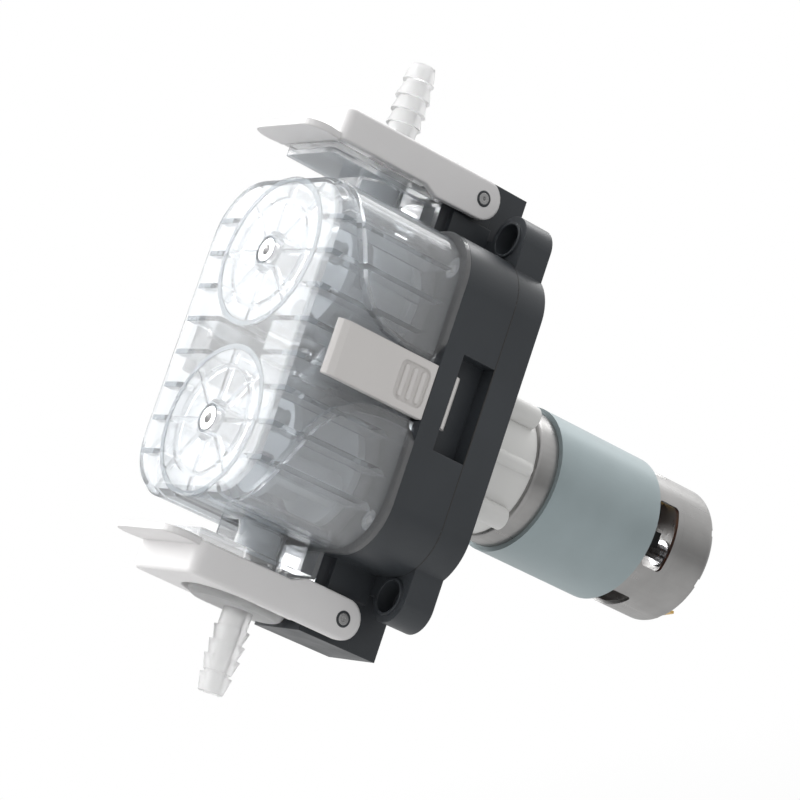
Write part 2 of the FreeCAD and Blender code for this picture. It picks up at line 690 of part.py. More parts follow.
# ---- pump tube -----------------------------------------------------------
def tube_stations():
    """Stations of the upper half, as (x, z, heading in degrees, radial half, width half)."""
    rise = math.sqrt((TRACK_MID_R + INLET_BEND_R) ** 2 - INLET_BEND_R ** 2)
    bend_z = ROTOR_Z + rise
    meet = math.atan2(rise, INLET_BEND_R)
    stations = [(0.0, TUBE_END_Z, -90.0, TUBE_R, TUBE_R)]
    bend_steps = 5
    for k in range(bend_steps + 1):
        angle = math.pi + meet * k / bend_steps
        share = math.sqrt(k / bend_steps)
        half = TUBE_R + (TUBE_FLAT_HALF - TUBE_R) * share
        width = TUBE_R + (TUBE_FLAT_HALF_WIDTH - TUBE_R) * share
        x = INLET_BEND_R * (1 + math.cos(angle))
        z = bend_z + INLET_BEND_R * math.sin(angle)
        stations.append((x, z, math.degrees(angle) + 90.0, half, width))
    lean = math.asin(TRACK_MID_R / ROTOR_Z)
    track_steps = 9
    for k in range(1, track_steps + 1):
        angle = meet - (meet + lean) * k / track_steps
        x = TRACK_MID_R * math.cos(angle)
        z = ROTOR_Z + TRACK_MID_R * math.sin(angle)
        heading = math.degrees(angle) - 90.0
        stations.append((x, z, heading, TUBE_FLAT_HALF, TUBE_FLAT_HALF_WIDTH))
    x, z, heading = stations[-1][:3]
    stations.append((0.66 * x, 0.66 * z, heading, 2.5, 6.4))
    stations.append((0.33 * x, 0.33 * z, heading, 3.7, 5.6))
    return stations


def tube_section(x, z, heading, half, width):
    """Ellipse across the tube; half lies in the XZ plane, width along Y."""
    turn = math.radians(heading)
    across = V(-math.sin(turn), 0, math.cos(turn))
    depth = V(0, 1, 0)
    centre = V(x, TUBE_Y, z)
    if width >= half:
        major, minor, long_axis, short_axis = width, half, depth, across
    else:
        major, minor, long_axis, short_axis = half, width, across, depth
    ellipse = Part.Ellipse(centre + long_axis * major, centre + short_axis * minor, centre)
    return Part.Wire([ellipse.toShape()])


def tube_body(grow):
    """Outside of the tube, grown by a gap for the channel it lies in."""
    upper = tube_stations()
    middle_heading = upper[-1][2]
    lower = [(-x, -z, heading, half, width) for x, z, heading, half, width in reversed(upper)]
    stations = upper + [(0.0, 0.0, middle_heading, 4.3, 5.2)] + lower
    sections = [tube_section(x, z, heading, half + grow, width + grow)
                for x, z, heading, half, width in stations]
    return Part.makeLoft(sections, True, True)


def pump_tube():
    tube = tube_body(0.0)
    for sz in (-1, 1):
        z0, z1 = sorted((sz * 50.3, sz * (TUBE_END_Z + 1)))
        tube = tube.cut(cyl_z(TUBE_BORE_R, z0, z1, 0, TUBE_Y))
    return tube


# ---- clear head ----------------------------------------------------------
def lobes(inset):
    """The four corner swellings of the side walls, left and right of the valley."""
    block = rounded_block(LOBE_HALF_X - inset, HEAD_HALF_Z - inset, HEAD_CORNER_R - inset,
                          LOBE_EDGE[-2][0] + inset, FLANGE_Y0 + 1)
    edge = [(y + inset, z + inset) for y, z in LOBE_EDGE]
    upper = block.common(prism_x(edge, -LOBE_HALF_X - 5, LOBE_HALF_X + 5))
    return upper.fuse(flip_z(upper))


def head_outer():
    body = rounded_block(HEAD_HALF_X, HEAD_HALF_Z, HEAD_CORNER_R, HEAD_FRONT_Y, FLANGE_Y0 + 1)
    body = fillet_where(body, 3.0, lambda b: b.YMax < HEAD_FRONT_Y + 0.1)
    return body.fuse(lobes(0.0)).fuse(head_flange())


def head_flange():
    """Flange against the base, notched for the two latches, with a strip up each tower."""
    plate = rounded_block(FLANGE_HALF_X, BASE_HALF_Z, BASE_CORNER_R, FLANGE_Y0, BASE_FRONT_Y)
    notch = list(FLANGE_NOTCH) + [(x, -z) for x, z in reversed(FLANGE_NOTCH)]
    cutter = prism_y(notch, FLANGE_Y0 - 1, BASE_FRONT_Y + 1)
    strip = box(-PLATE_HALF_X, PLATE_HALF_X, FLANGE_Y0, BASE_FRONT_Y, -NECK_Z - 1, NECK_Z + 1)
    return plate.cut(cutter).cut(flip_x(cutter)).fuse(strip)


def head_void():
    """Hollow inside the outer shell, following the front block and the corner swellings."""
    body = rounded_block(HEAD_HALF_X - HEAD_WALL, HEAD_HALF_Z - HEAD_WALL,
                         HEAD_CORNER_R - HEAD_WALL, HEAD_FRONT_Y + HEAD_WALL, BASE_FRONT_Y + 1)
    mouth = rounded_block(LOBE_HALF_X - HEAD_WALL, HEAD_HALF_Z - HEAD_WALL,
                          HEAD_CORNER_R - HEAD_WALL, FLANGE_Y0, BASE_FRONT_Y + 1)
    valley = FLANGE_NOTCH[1][1] - HEAD_WALL
    mouth = mouth.cut(box(-40, 40, FLANGE_Y0 - 1, BASE_FRONT_Y + 2, -valley, valley))
    return body.fuse(lobes(HEAD_WALL)).fuse(mouth)


def head_ribs(void):
    """Ribs between the chamber walls and the outer shell, level and radial."""
    half = RIB_THICKNESS / 2
    front = HEAD_FRONT_Y + HEAD_WALL - 0.5
    ribs = []
    for k in range(4):
        z = RIB_PITCH * (k + 0.5)
        rear = RIB_REAR_Y if k > 1 else RIB_REAR_Y - 3.0
        slab = [(front, z - half), (rear - 2.4, z - half), (rear, z + half), (front, z + half)]
        bar = prism_x(slab, -HEAD_HALF_X - 5, HEAD_HALF_X + 5)
        ribs += [bar, flip_z(bar)]
    for degrees in (52, 72, 90, 108, 128):
        bar = box(CHAMBER_R + 0.4, HEAD_HALF_X + 5, front, RIB_REAR_Y, -half, half)
        bar.rotate(V(0, 0, 0), V(0, 1, 0), -degrees)
        bar.translate(V(0, 0, ROTOR_Z))
        ribs += [bar, flip_z(bar)]
    return fuse(ribs).common(void)


def head_spokes(z):
    """Spokes, ring and shaft boss inside the front plate, over one chamber."""
    y0 = HEAD_FRONT_Y + 1.0
    y1 = HEAD_FRONT_Y + HEAD_WALL + 1.6
    parts = [ring_y(16.6, 15.4, y0, y1, 0, z), cyl_y(HUB_R, y0, FRONT_DISC_Y0 - 3.0, 0, z)]
    for k in range(4):
        bar = box(-CHAMBER_R - 0.5, CHAMBER_R + 0.5, y0, y1, -0.6, 0.6)
        bar.rotate(V(0, 0, 0), V(0, 1, 0), 45 * k)
        bar.translate(V(0, 0, z))
        parts.append(bar)
    return fuse(parts)


def head_neck(sz):
    """Neck and top plate that carry one hose connector."""
    neck = rounded_plate(NECK_HALF_X, TUBE_Y - NECK_HALF_Y, TUBE_Y + NECK_HALF_Y, 3.0, 46.0,
                         NECK_Z + 1)
    plate = rounded_plate(PLATE_HALF_X, PLATE_FRONT_Y, BASE_FRONT_Y, 1.4, NECK_Z,
                          NECK_Z + 1.4)
    both = neck.fuse(plate)
    return both if sz > 0 else flip_z(both)


def latch_lug():
    """Block on the cover's right side that holds one latch pin."""
    return box(HEAD_HALF_X - 0.8, LATCH_PIVOT_X + 1.3, LATCH_PIVOT_Y - 2.4, LATCH_PIVOT_Y + 2.2,
               -LATCH_LUG_HALF_Z, LATCH_LUG_HALF_Z)


def chamber_walls():
    """Two round pumping chambers and the block between them, solid before hollowing."""
    walls = [cyl_y(CHAMBER_R + CHAMBER_WALL, HEAD_FRONT_Y + 1, BASE_FRONT_Y, 0, sz * ROTOR_Z)
             for sz in (-1, 1)]
    walls.append(box(-13.5, 13.5, HEAD_FRONT_Y + 1, BASE_FRONT_Y, -7.0, 7.0))
    return walls


def cover_bores():
    """Chambers, tube channel, tube mouths, shaft bores and screw holes of the cover."""
    tools = [tube_body(TUBE_CLEARANCE)]
    for sz in (-1, 1):
        z = sz * ROTOR_Z
        tools.append(cyl_y(CHAMBER_R, HEAD_FRONT_Y + HEAD_WALL, BASE_FRONT_Y + 1, 0, z))
        z0, z1 = sorted((sz * 47.0, sz * 60.0))
        tools.append(cyl_z(TUBE_MOUTH_R, z0, z1, 0, TUBE_Y))
    return tools


def pump_head_cover():
    """Clear cover: ribbed shell, two chambers, shaft bosses and the lugs of the latches."""
    void = head_void()
    shell = head_outer()
    for sz in (-1, 1):
        shell = shell.fuse(head_neck(sz))
    body = shell.cut(void).fuse(head_ribs(void))
    for wall in chamber_walls():
        body = body.fuse(wall)
    body = cut_all(body, cover_bores())
    for sz in (-1, 1):
        z = sz * ROTOR_Z
        body = body.fuse(head_spokes(z))
        body = body.cut(cyl_y(ROTOR_SHAFT_R + RUNNING_GAP, SHAFT_END_Y, FRONT_DISC_Y0, 0, z))
        body = body.cut(cyl_y(4.2, HEAD_FRONT_Y - 1, SHAFT_END_Y + 0.1, 0, z))
    for sx in (-1, 1):
        lug = latch_lug()
        for z0, z1 in ((LATCH_LUG_HALF_Z + 0.1, 7.2), (-7.2, -LATCH_LUG_HALF_Z - 0.1)):
            recess = box(LATCH_PIVOT_X - 1.9, LATCH_PIVOT_X + 1, LATCH_PIVOT_Y - 3.0,
                         LATCH_PIVOT_Y + 3.0, z0, z1)
            body = body.cut(recess if sx > 0 else flip_x(recess))
        body = body.fuse(lug if sx > 0 else flip_x(lug))
        body = body.cut(cyl_z(LATCH_PIN_R, -LATCH_LUG_HALF_Z - 0.1, LATCH_LUG_HALF_Z + 0.1,
                              sx * LATCH_PIVOT_X, LATCH_PIVOT_Y))
    return body


def connector_plate():
    """Clear clamp plate under the upper hose connector, with a nose at its rear end."""
    z1 = CLAMP_Z + CLAMP_THICKNESS
    plate = rounded_plate(PLATE_HALF_X, PLATE_FRONT_Y, PLATE_REAR_Y - 0.4, 1.4, CLAMP_Z, z1)
    nose = [(PLATE_REAR_Y - 2.5, z1), (PLATE_REAR_Y, z1), (PLATE_REAR_Y + 0.8, z1 - 0.7),
            (PLATE_REAR_Y + 0.8, CLAMP_Z), (PLATE_REAR_Y - 2.5, CLAMP_Z)]
    plate = plate.fuse(prism_x(nose, -8.0, 8.0))
    return plate.cut(cyl_z(TUBE_R + TUBE_CLEARANCE, 50, 60, 0, TUBE_Y))


def hose_barbs():
    """Barbed stem from the dome outwards."""
    stem = [cyl_z(4.2, SEAT_Z1, BARB_NECK_Z + 1, 0, TUBE_Y),
            cyl_z(3.4, BARB_NECK_Z, BARB_TIP_Z - 2.5, 0, TUBE_Y)]
    for k in range(3):
        z = BARB_NECK_Z + 4.2 * k
        stem.append(cone_z(5.15, 4.0, z, z + 4.1, 0, TUBE_Y))
    stem.append(cone_z(4.6, 3.5, BARB_TIP_Z - 4.9, BARB_TIP_Z, 0, TUBE_Y))
    return stem


def connector_dome():
    """Low rounded oval standing on the seat, with a small square window behind the stem."""
    dome = rounded_plate(DOME_HALF_X, DOME_FRONT_Y, DOME_REAR_Y, DOME_HALF_X - 0.1,
                         SEAT_Z1 - 0.5, DOME_Z)
    dome = fillet_where(dome, 2.6, lambda b: b.ZMin > DOME_Z - 0.1)
    return dome.cut(box(-2.0, 2.0, DOME_REAR_Y + 1.2, DOME_REAR_Y + 3.6, DOME_Z - 2.2, DOME_Z + 1))


def hose_connector():
    """Upper hose connector: spigot, flat seat, dome and barbed stem."""
    seat = rounded_plate(SEAT_HALF_X, SEAT_FRONT_Y, SEAT_REAR_Y, 7.0, SEAT_Z0, SEAT_Z1)
    collar_z = CLAMP_Z + CLAMP_THICKNESS + 0.1
    body = [cyl_z(TUBE_BORE_R, 50.5, SEAT_Z1, 0, TUBE_Y), cyl_z(7.6, collar_z, SEAT_Z0 + 0.5, 0, TUBE_Y),
            seat, connector_dome()]
    return fuse(body + hose_barbs()).cut(cyl_z(2.2, 44, BARB_TIP_Z + 1, 0, TUBE_Y))


# ---- levers and latches --------------------------------------------------
def lever_side_outline():
    """Side view of the upper lever as (y, z) points: straight arm and round pivot end."""
    points = [(LEVER_FRONT_Y, LEVER_INNER_Z), (-37.5, LEVER_INNER_Z), (-33.0, LEVER_INNER_Z - 2.0)]
    for k in range(13):
        angle = math.radians(-95 + 185 * k / 12)
        points.append((LEVER_PIN_Y + LEVER_END_R * math.cos(angle),
                       LEVER_PIN_Z + LEVER_END_R * math.sin(angle)))
    return points + [(LEVER_FRONT_Y, LEVER_TOP_Z)]


def lever_tab():
    """Finger tab with swept corners, level with the inner edge of the lever."""
    half = LEVER_HALF_X
    tab = [(-half + 1.4, LEVER_FRONT_Y + 0.9), (half - 1.4, LEVER_FRONT_Y + 0.9)]
    for k in range(7):
        angle = math.radians(15 * k)
        tab.append((half - 5.5 + 5.0 * math.cos(angle), LEVER_TAB_Y + 6.5 - 6.5 * math.sin(angle)))
    tab += [(-x, y) for x, y in reversed(tab[2:])]
    return prism_z(tab, LEVER_INNER_Z - 0.6, LEVER_INNER_Z - 0.6 + LEVER_TAB_THICKNESS)


def upper_lever():
    """Channel-shaped clamping lever, open to the rear around the dome of the connector."""
    block = prism_x(lever_side_outline(), -LEVER_HALF_X, LEVER_HALF_X)
    block = fillet_where(block, 3.2, lambda b: b.YMax < LEVER_FRONT_Y + 0.1 and b.ZLength > 5)
    block = fillet_where(block, 1.2, lambda b: b.ZMin > LEVER_TOP_Z - 0.1 and b.YLength > 20)
    inner_x = LEVER_HALF_X - LEVER_ARM_THICKNESS
    rear_y = LEVER_PIN_Y + LEVER_END_R + 1
    hollow = rounded_plate(inner_x, LEVER_FRONT_Y + LEVER_FRONT_WALL, -31.0, 2.5, 40.0,
                           LEVER_TOP_Z - LEVER_TOP_WALL)
    fork = box(-inner_x, inner_x, -32.0, rear_y, 40, 80)
    arch_y = LEVER_OPENING_FRONT_Y + LEVER_OPENING_HALF_X
    arch = cyl_z(LEVER_OPENING_HALF_X, 50, 80, 0, arch_y)
    opening = box(-LEVER_OPENING_HALF_X, LEVER_OPENING_HALF_X, arch_y, rear_y, 50, 80)
    body = cut_all(block, [hollow, fork, arch, opening]).fuse(lever_tab())
    return body.cut(cyl_x(LEVER_PIN_R + RUNNING_GAP, -20, 20, LEVER_PIN_Y, LEVER_PIN_Z))


def lever_pin():
    """Pin through both lever arms, with a small centre dimple at each end."""
    end = LEVER_HALF_X + 0.2
    pin = cyl_x(LEVER_PIN_R, -end, end, LEVER_PIN_Y, LEVER_PIN_Z)
    dimple = cyl_x(0.6, end - 0.6, end + 1, LEVER_PIN_Y, LEVER_PIN_Z)
    return pin.cut(dimple).cut(flip_x(dimple))


def latch_grip(plate):
    """Recessed pad with three upright ribs on the outer face of the latch."""
    pad = box(LATCH_OUTER_X - 0.6, LATCH_OUTER_X + 1, -39.8, -29.6, -5.6, 5.6)
    pad = fillet_where(pad, 2.0, lambda b: b.XLength > 1 and b.YLength < 0.1 and b.ZLength < 0.1)
    body = plate.cut(pad)
    for k in range(3):
        y = -37.6 + 3.0 * k
        rib = box(LATCH_OUTER_X - 0.8, LATCH_OUTER_X, y - 0.75, y + 0.75, -4.6, 4.6)
        body = body.fuse(fillet_where(rib, 0.7, lambda b: b.XLength > 0.7 and b.ZLength < 0.1
                                      and b.YLength < 0.1))
    return body


def latch_cheeks():
    """Two hinge cheeks that stand inwards from the plate, one on each side of the lug."""
    cheeks = []
    for sz in (-1, 1):
        z0, z1 = sorted((sz * (LATCH_LUG_HALF_Z + 0.3), sz * 6.9))
        cheeks.append(cyl_z(LATCH_CHEEK_R, z0, z1, LATCH_PIVOT_X, LATCH_PIVOT_Y))
        cheeks.append(box(LATCH_PIVOT_X - 0.9, LATCH_INNER_X + 0.4, LATCH_PIVOT_Y - 1.5,
                          LATCH_PIVOT_Y + 1.5, z0, z1))
    return cheeks


def right_latch():
    """Squeeze latch: plate with ribbed grip, hinge cheeks and rear hook."""
    side = [(LATCH_INNER_X, LATCH_REAR_Y), (LATCH_OUTER_X, LATCH_REAR_Y), (LATCH_OUTER_X, -59.5),
            (LATCH_OUTER_X - 0.8, -61.5), (LATCH_OUTER_X - 2.0, LATCH_FRONT_Y),
            (LATCH_INNER_X, LATCH_FRONT_Y)]
    body = latch_grip(prism_z(side, -LATCH_HALF_Z, LATCH_HALF_Z))
    for cheek in latch_cheeks():
        body = body.fuse(cheek)
    x = LATCH_INNER_X - 0.2
    catch_y = WINDOW_FRONT_Y + 0.2
    hook = [(x, -31.0), (x + 1.2, -31.0), (x + 1.2, catch_y), (x + 2.4, catch_y),
            (x + 2.2, catch_y + 1.0), (x + 0.8, catch_y + 2.3), (x, catch_y + 2.3)]
    body = body.fuse(prism_z(hook, -7.5, 7.5))
    return body.cut(cyl_z(LATCH_PIN_R + RUNNING_GAP, -8, 8, LATCH_PIVOT_X, LATCH_PIVOT_Y))


def latch_pins():
    return group([cyl_z(LATCH_PIN_R, -6.8, 6.8, sx * LATCH_PIVOT_X, LATCH_PIVOT_Y)
                  for sx in (-1, 1)])


# ---- rotors --------------------------------------------------------------
def roller_places(start_degrees, z):
    return [(ROLLER_ORBIT * math.cos(math.radians(start_degrees + 120 * k)),
             z + ROLLER_ORBIT * math.sin(math.radians(start_degrees + 120 * k))) for k in range(3)]


def rotor_shaft(z):
    """Steel shaft from the cover's bore to the rear bearing, tapped at its front end."""
    shaft = cyl_y(ROTOR_SHAFT_R, SHAFT_END_Y + 0.1, PARTING_Y + 2.8, 0, z)
    return shaft.cut(cyl_y(1.3, SHAFT_END_Y - 1, SHAFT_END_Y + 8.0, 0, z))


def rotor_disc(y0, y1, z, places, windows):
    disc = cyl_y(ROTOR_DISC_R, y0, y1, 0, z).cut(cyl_y(ROTOR_SHAFT_R, y0 - 1, y1 + 1, 0, z))
    for x, pin_z in places:
        disc = disc.cut(cyl_y(ROLLER_PIN_R, y0 - 1, y1 + 1, x, pin_z))
    if windows:
        start = math.degrees(math.atan2(places[0][1] - z, places[0][0]))
        for x, dz in roller_places(start + 60, 0):
            disc = disc.cut(cyl_y(3.4, y0 - 1, y1 + 1, x, z + dz))
    return disc


def rotor_back_disc(z, places):
    return rotor_disc(BACK_DISC_Y0, BACK_DISC_Y1, z, places, False)


def rotor_front_disc(z, places):
    """Front disc with round windows, and the hub tube that spaces the two discs."""
    hub = ring_y(HUB_R, ROTOR_SHAFT_R, FRONT_DISC_Y1 - 0.2, BACK_DISC_Y0, 0, z)
    return rotor_disc(FRONT_DISC_Y0, FRONT_DISC_Y1, z, places, True).fuse(hub)


def roller_pins(places):
    return group([cyl_y(ROLLER_PIN_R, FRONT_DISC_Y0 - 0.5, BACK_DISC_Y1 - 0.3, x, z)
                  for x, z in places])


def roller(x, z):
    """Pressing roller that turns on its pin."""
    return ring_y(ROLLER_R, ROLLER_PIN_R + RUNNING_GAP, ROLLER_Y0, ROLLER_Y1, x, z)


def build_rotor(prefix, sz, start_degrees, wheel_phase):
    z = sz * ROTOR_Z
    places = roller_places(start_degrees, z)
    keep(prefix + "_rotor_shaft", rotor_shaft(z))
    keep(prefix + "_rotor_screw", socket_screw(3.4, 2.3, 1.3, 5.0, SHAFT_END_Y - 2.2, 0, z))
    keep(prefix + "_rotor_back_disc", rotor_back_disc(z, places))
    keep(prefix + "_rotor_front_disc", rotor_front_disc(z, places))
    keep(prefix + "_roller_pins", roller_pins(places))
    keep(prefix + "_drive_wheel", spur_gear(WHEEL_TEETH, GEAR_MODULE, wheel_phase, GEAR_Y0, GEAR_Y1,
                                            0, z, ROTOR_SHAFT_R))
    for index, (x, pin_z) in enumerate(places):
        keep("%s_roller_%d" % (prefix, index + 1), roller(x, pin_z))


def build_all():
    keep("base_back_plate", base_back_plate())
    keep("base_front_frame", base_front_frame())
    keep("frame_screws", group([socket_screw(3.0, 2.2, 1.5, 18.0, BASE_FRONT_Y + 0.2, x, z)
                                for x, z in frame_screw_places()]))
    keep("rotor_bearings", group([bearing(y, BEARING_WIDTH, BEARING_R, ROTOR_SHAFT_R + RUNNING_GAP,
                                          sz * ROTOR_Z)
                                  for sz in (-1, 1) for y in (BASE_FRONT_Y, PARTING_Y)]))
    keep("idler_axle", cyl_y(1.5, GEAR_Y0 - 1.5, PARTING_Y + 3.0, IDLER_X, IDLER_Z))
    keep("idler_gear", spur_gear(IDLER_TEETH, GEAR_MODULE, IDLER_PHASE, GEAR_Y0, GEAR_Y1,
                                 IDLER_X, IDLER_Z, 1.5 + RUNNING_GAP))
    keep("gearbox_housing", gearbox_housing())
    keep("gearbox_screws", group([socket_screw(2.8, 2.0, 1.5, 10.0, PARTING_Y + 0.1, x, z)
                                  for x, z in gearbox_screw_places()]))
    keep("output_bearing", bearing(GEARBOX_FRONT_Y, 4.0, 6.0, OUTPUT_SHAFT_R + RUNNING_GAP,
                                   MOTOR_Z))
    keep("output_pinion", output_pinion())
    keep("planet_carrier", planet_carrier())
    keep("planet_pins", planet_pins())
    for index in range(3):
        keep("planet_gear_%d" % (index + 1), planet_gear(index))
    keep("sun_gear", spur_gear(SUN_TEETH, PLANET_MODULE, 0.0, PLANET_Y0 - 0.5, PLANET_Y1 + 3.0,
                               0, MOTOR_Z, SHAFT_R))
    keep("motor_mount_plate", motor_mount_plate())
    keep("motor_screws", motor_screws())
    keep("motor_can", motor_can())
    keep("flux_ring", flux_ring())
    keep("motor_end_cap", motor_end_cap())
    keep("motor_terminals", motor_terminals())
    keep("motor_magnets", motor_magnets())
    keep("motor_brushes", motor_brushes())
    keep("motor_bearings", motor_bearings())
    keep("motor_shaft", cyl_y(SHAFT_R, PLANET_Y0 - 0.5, TAIL_Y + 0.5, 0, MOTOR_Z))
    keep("armature_core", armature_core())
    keep("armature_windings", armature_windings())
    keep("commutator", commutator())
    keep("pump_head_cover", pump_head_cover())
    keep("upper_connector_plate", connector_plate())
    keep("lower_connector_plate", flip_z(connector_plate()))
    keep("upper_hose_connector", hose_connector())
    keep("lower_hose_connector", flip_z(hose_connector()))
    keep("pump_tube", pump_tube())
    build_rotor("upper", 1, 90.0, UPPER_WHEEL_PHASE)
    build_rotor("lower", -1, 90.0, LOWER_WHEEL_PHASE)
    keep("upper_lever", upper_lever())
    keep("lower_lever", flip_z(upper_lever()))
    keep("upper_lever_pin", lever_pin())
    keep("lower_lever_pin", flip_z(lever_pin()))
    keep("latch_right", right_latch())
    keep("latch_left", flip_x(right_latch()))
    keep("latch_pins", latch_pins())


build_all()
os.makedirs("parts", exist_ok=True)
for name, shape in NODES.items():
    shape.exportStep("parts/%s.step" % name)
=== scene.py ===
import json
import math

import bmesh
import bpy
from mathutils import Matrix, Vector


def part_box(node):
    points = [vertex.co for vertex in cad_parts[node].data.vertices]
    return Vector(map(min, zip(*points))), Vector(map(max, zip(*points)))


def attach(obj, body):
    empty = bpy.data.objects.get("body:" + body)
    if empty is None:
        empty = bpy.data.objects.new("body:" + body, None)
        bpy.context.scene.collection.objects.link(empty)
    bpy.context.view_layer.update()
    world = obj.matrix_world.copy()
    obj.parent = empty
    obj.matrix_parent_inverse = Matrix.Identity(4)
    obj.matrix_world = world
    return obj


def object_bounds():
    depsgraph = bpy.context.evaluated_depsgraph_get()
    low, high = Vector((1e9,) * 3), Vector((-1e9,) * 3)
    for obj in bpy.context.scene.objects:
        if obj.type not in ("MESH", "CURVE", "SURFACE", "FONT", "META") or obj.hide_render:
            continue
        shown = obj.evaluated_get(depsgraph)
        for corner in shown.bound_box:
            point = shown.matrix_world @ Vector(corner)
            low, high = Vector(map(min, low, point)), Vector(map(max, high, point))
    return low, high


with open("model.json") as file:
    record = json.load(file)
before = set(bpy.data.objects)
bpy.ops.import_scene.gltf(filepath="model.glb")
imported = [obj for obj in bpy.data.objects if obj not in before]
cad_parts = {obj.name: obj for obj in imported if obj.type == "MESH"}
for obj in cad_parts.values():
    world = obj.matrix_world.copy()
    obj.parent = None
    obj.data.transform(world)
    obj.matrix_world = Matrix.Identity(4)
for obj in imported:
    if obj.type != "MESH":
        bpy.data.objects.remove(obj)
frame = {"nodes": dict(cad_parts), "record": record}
cad_low, cad_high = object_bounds()

# Peristaltic pump.  Metres, in the CAD frame: +X right seen from the pump head,
# +Y towards the motor's tail, +Z towards the upper hose connector.
MM = 0.001

# Places and sizes of the pump that the added pieces share.
LEVER_PIN_Y = -17.6 * MM
LEVER_PIN_Z = 62.84 * MM
ROTOR_Z = 24.8 * MM
CHAMBER_WALL_R = 22.2 * MM
COVER_INSIDE_X = 29.6 * MM
RIB_PITCH = 9.9 * MM
BASE_HALF_X = 36.0 * MM
BASE_HALF_Z = 47.6 * MM
BASE_CORNER_R = 15.5 * MM
BASE_PARTING_Y = -10.0 * MM


# ---- node helpers ----------------------------------------------------------
def new_material(name):
    """Material with an empty Principled shader and its output; returns the parts."""
    material = bpy.data.materials.new(name)
    material.use_nodes = True
    tree = material.node_tree
    shader = tree.nodes["Principled BSDF"]
    coords = tree.nodes.new("ShaderNodeTexCoord")
    return material, tree, shader, coords


def noise(tree, coords, scale, detail=3.0, stretch=None):
    """Noise in object space; scale is in features per metre, stretch squeezes it along axes."""
    node = tree.nodes.new("ShaderNodeTexNoise")
    node.inputs["Scale"].default_value = scale
    node.inputs["Detail"].default_value = detail
    source = coords.outputs["Object"]
    if stretch:
        mapping = tree.nodes.new("ShaderNodeMapping")
        mapping.inputs["Scale"].default_value = stretch
        tree.links.new(source, mapping.inputs["Vector"])
        source = mapping.outputs["Vector"]
    tree.links.new(source, node.inputs["Vector"])
    return node


def remap(tree, value, low, high, from_low=0.3, from_high=0.7):
    """Stretch a value to run from low to high; noise mostly lies between 0.3 and 0.7."""
    node = tree.nodes.new("ShaderNodeMapRange")
    node.inputs["From Min"].default_value = from_low
    node.inputs["From Max"].default_value = from_high
    node.inputs["To Min"].default_value = low
    node.inputs["To Max"].default_value = high
    tree.links.new(value, node.inputs["Value"])
    return node.outputs["Result"]


def mix_colours(tree, factor, first, second):
    """Colour between two fixed colours, by a varying factor."""
    ramp = tree.nodes.new("ShaderNodeValToRGB")
    ramp.color_ramp.elements[0].color = (*first, 1.0)
    ramp.color_ramp.elements[1].color = (*second, 1.0)
    tree.links.new(factor, ramp.inputs["Fac"])
    return ramp.outputs["Color"]


def shade(colour, factor):
    """Lighter or darker version of a colour."""
    return tuple(min(1.0, channel * factor) for channel in colour)


def add_bump(tree, shader, height, distance, edge=0.0):
    """Surface relief; edge is the radius, in metres, by which sharp edges look rounded."""
    bump = tree.nodes.new("ShaderNodeBump")
    if edge > 0.0:
        rounding = tree.nodes.new("ShaderNodeBevel")
        rounding.samples = 6
        rounding.inputs["Radius"].default_value = edge
        tree.links.new(rounding.outputs["Normal"], bump.inputs["Normal"])
    bump.inputs["Distance"].default_value = distance
    bump.inputs["Strength"].default_value = 1.0
    tree.links.new(height, bump.inputs["Height"])
    tree.links.new(bump.outputs["Normal"], shader.inputs["Normal"])


# ---- materials -------------------------------------------------------------
def moulded_plastic(name, colour, rough, grain=1500.0, depth=0.00002, spread=0.06,
                    edge=0.0004):
    """Satin moulded plastic: fine spark-eroded grain, faint flow marks and handling marks."""
    material, tree, shader, coords = new_material(name)
    flow = noise(tree, coords, 38.0, 4.0)
    factor = remap(tree, flow.outputs["Fac"], 0.0, 1.0)
    pale = mix_colours(tree, factor, shade(colour, 1.0 - spread), shade(colour, 1.0 + spread))
    tree.links.new(pale, shader.inputs["Base Color"])
    wipe = noise(tree, coords, 90.0, 6.0)
    rough_out = remap(tree, wipe.outputs["Fac"], rough - 0.06, rough + 0.08)
    tree.links.new(rough_out, shader.inputs["Roughness"])
    grain_node = noise(tree, coords, grain, 2.0)
    add_bump(tree, shader, grain_node.outputs["Fac"], depth, edge=edge)
    return material


# Painted shade: grey-blue that clear parts turn to where their surface turns away from the view.
GRAZING_SHADE_COLOUR = (0.62, 0.67, 0.71)


def clear_plastic(name, tint, rough, ior=1.16, clearness=0.84):
    """Clear moulding: slight waviness from the mould and a faint milky haze; its colour is painted darker
    grey-blue where the surface turns away from the view, as painted shade along edges and rib sides.
    """
    material, tree, shader, coords = new_material(name)
    cloud = noise(tree, coords, 60.0, 3.0)
    slant = tree.nodes.new("ShaderNodeLayerWeight")
    slant.inputs["Blend"].default_value = 0.5
    turned_away = remap(tree, slant.outputs["Facing"], 0.0, 1.0, 0.5, 0.95)
    # Painted shade: colour darkens towards grey-blue as the surface turns away from the view.
    colour = mix_colours(tree, turned_away, tint, GRAZING_SHADE_COLOUR)
    tree.links.new(colour, shader.inputs["Base Color"])
    wear = remap(tree, cloud.outputs["Fac"], rough, rough + 0.05)
    tree.links.new(wear, shader.inputs["Roughness"])
    shader.inputs["Transmission Weight"].default_value = clearness
    shader.inputs["IOR"].default_value = ior
    shader.inputs["Coat Weight"].default_value = 0.15
    shader.inputs["Coat Roughness"].default_value = 0.04
    wave = noise(tree, coords, 70.0, 1.0)
    add_bump(tree, shader, wave.outputs["Fac"], 0.00008)
    return material


